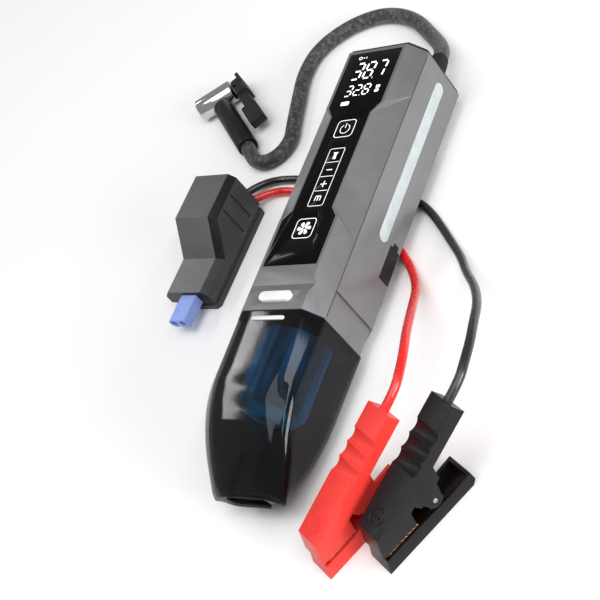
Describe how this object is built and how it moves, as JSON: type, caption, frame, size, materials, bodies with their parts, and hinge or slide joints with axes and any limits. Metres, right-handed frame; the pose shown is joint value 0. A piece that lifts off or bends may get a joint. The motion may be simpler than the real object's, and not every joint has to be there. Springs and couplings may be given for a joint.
{
  "type": "jump starter pack",
  "caption": "Hand-held jump starter with a display and keys, suction cup and dust filter, tyre pump hose with valve chuck, side lamp, and a jump lead with smart module and clamps.",
  "frame": {"origin": "middle of the main unit's underside as it lies on its back", "axes": "+Y from the suction end to the tail, +X to the lamp side, +Z out of the display face"},
  "size_m": [0.3583, 0.4485, 0.0663],
  "materials": {
    "shell_grey": "satin",
    "cap_grey": "matte",
    "screw_steel": "satin",
    "lamp_lens": "frosted",
    "board_green": "satin",
    "panel_black": "gloss",
    "display_black": "gloss",
    "keypad_rubber": "matte",
    "cell_wrap": "satin",
    "inner_plastic": "matte",
    "motor_can": "satin",
    "filter_blue": "satin",
    "seal_rubber": "matte",
    "cup_smoke": "gloss",
    "latch_silver": "satin",
    "pump_alloy": "cast",
    "crank_steel": "satin",
    "flap_rubber": "matte",
    "socket_black": "satin",
    "usb_steel": "satin",
    "hose_braid": "braided",
    "sleeve_rubber": "satin",
    "chuck_chrome": "polished",
    "lever_black": "satin",
    "module_grey": "satin",
    "connector_blue": "satin",
    "cable_red": "gloss",
    "cable_black": "gloss",
    "clamp_red": "satin",
    "clamp_black": "satin",
    "jaw_copper": "bright"
  },
  "bodies": {
    "main_unit": {"top_shell": "shell_grey", "bottom_shell": "shell_grey", "rear_cap": "cap_grey", "case_screws": "screw_steel", "light_lens": "lamp_lens", "light_board": "board_green", "display_panel": "panel_black", "display_module": "display_black", "keypad_mat": "keypad_rubber", "main_board": "board_green", "battery_cells": "cell_wrap", "cell_holder": "inner_plastic", "vacuum_motor": "motor_can", "fan_housing": "inner_plastic", "filter_frame": "inner_plastic", "filter_element": "filter_blue", "cup_seal": "seal_rubber", "latch_spring": "screw_steel", "pump_motor": "motor_can", "pump_crankcase": "inner_plastic", "pump_cylinder": "pump_alloy", "port_frame": "socket_black", "ec5_socket": "socket_black", "usb_port": "usb_steel", "hose_gland": "flap_rubber", "air_hose": "hose_braid", "hose_sleeve": "sleeve_rubber", "chuck_body": "chuck_chrome", "chuck_seal": "seal_rubber", "module_top": "module_grey", "module_base": "cap_grey", "lead_boot": "flap_rubber", "ec5_plug": "connector_blue", "red_cable": "cable_red", "black_cable": "cable_black", "red_arm_upper": "clamp_red", "red_jaw_upper": "jaw_copper", "red_clamp_pin": "screw_steel", "red_clamp_spring": "screw_steel", "black_arm_upper": "clamp_black", "black_jaw_upper": "jaw_copper", "black_clamp_pin": "screw_steel", "black_clamp_spring": "screw_steel"},
    "impeller": {"impeller": "inner_plastic"},
    "pump_crank": {"pump_crank": "crank_steel"},
    "pump_piston": {"pump_piston": "pump_alloy"},
    "dust_cup": {"dust_cup": "cup_smoke"},
    "latch_button": {"latch_button": "latch_silver"},
    "port_flap": {"port_flap": "flap_rubber"},
    "chuck_lever": {"chuck_lever": "lever_black"},
    "key_power": {"key_power": "panel_black"},
    "key_light": {"key_light": "panel_black"},
    "key_minus": {"key_minus": "panel_black"},
    "key_plus": {"key_plus": "panel_black"},
    "key_mode": {"key_mode": "panel_black"},
    "key_fan": {"key_fan": "panel_black"},
    "red_lower_arm": {"red_arm_lower": "clamp_red", "red_jaw_lower": "jaw_copper"},
    "black_lower_arm": {"black_arm_lower": "clamp_black", "black_jaw_lower": "jaw_copper"}
  },
  "joints": [
    {"name": "impeller_spin", "type": "hinge", "parent": "main_unit", "child": "impeller", "pos_m": [0, -0.032, 0.032], "axis": [0, 1, 0], "continuous": true},
    {"name": "pump_crank_spin", "type": "hinge", "parent": "main_unit", "child": "pump_crank", "pos_m": [-0.012, 0.125, 0.03], "axis": [0, 1, 0], "continuous": true},
    {"name": "pump_piston_slide", "type": "slide", "parent": "main_unit", "child": "pump_piston", "axis": [1, 0, 0], "range_m": [-0.003, 0.003]},
    {"name": "dust_cup_slide", "type": "slide", "parent": "main_unit", "child": "dust_cup", "axis": [0, -1, 0], "range_m": [0, 0.09]},
    {"name": "latch_press", "type": "slide", "parent": "main_unit", "child": "latch_button", "axis": [0, 0, -1], "range_m": [0, 0.0012], "stiffness_N_per_m": 800, "springref_m": -0.001, "deforming": ["latch_spring"]},
    {"name": "port_flap_hinge", "type": "hinge", "parent": "main_unit", "child": "port_flap", "pos_m": [0.0334, 0.026, 0.0165], "axis": [0, 0, 1], "range_deg": [0, 100], "stiffness_Nm_per_rad": 0.002, "springref_deg": -11.46},
    {"name": "chuck_lever_swing", "type": "hinge", "parent": "main_unit", "child": "chuck_lever", "pos_m": [-0.18066, 0.19742, 0.0091], "axis": [0, 0, 1], "range_deg": [0, 30]},
    {"name": "key_power_press", "type": "slide", "parent": "main_unit", "child": "key_power", "axis": [0, 0, -1], "range_m": [0, 0.0006], "stiffness_N_per_m": 600, "springref_m": -0.0005},
    {"name": "key_light_press", "type": "slide", "parent": "main_unit", "child": "key_light", "axis": [0, 0, -1], "range_m": [0, 0.0006], "stiffness_N_per_m": 600, "springref_m": -0.0005},
    {"name": "key_minus_press", "type": "slide", "parent": "main_unit", "child": "key_minus", "axis": [0, 0, -1], "range_m": [0, 0.0006], "stiffness_N_per_m": 600, "springref_m": -0.0005},
    {"name": "key_plus_press", "type": "slide", "parent": "main_unit", "child": "key_plus", "axis": [0, 0, -1], "range_m": [0, 0.0006], "stiffness_N_per_m": 600, "springref_m": -0.0005},
    {"name": "key_mode_press", "type": "slide", "parent": "main_unit", "child": "key_mode", "axis": [0, 0, -1], "range_m": [0, 0.0006], "stiffness_N_per_m": 600, "springref_m": -0.0005},
    {"name": "key_fan_press", "type": "slide", "parent": "main_unit", "child": "key_fan", "axis": [0, 0, -1], "range_m": [0, 0.0006], "stiffness_N_per_m": 600, "springref_m": -0.0005},
    {"name": "red_jaw_hinge", "type": "hinge", "parent": "main_unit", "child": "red_lower_arm", "pos_m": [0.07432, -0.14681, 0.0145], "axis": [0.8616, -0.5075, 0], "range_deg": [0, 25], "stiffness_Nm_per_rad": 0.4, "springref_deg": -28.65},
    {"name": "black_jaw_hinge", "type": "hinge", "parent": "main_unit", "child": "black_lower_arm", "pos_m": [0.11289, -0.14024, 0.0145], "axis": [0.8563, -0.5165, 0], "range_deg": [0, 25], "stiffness_Nm_per_rad": 0.4, "springref_deg": -28.65}
  ]
}
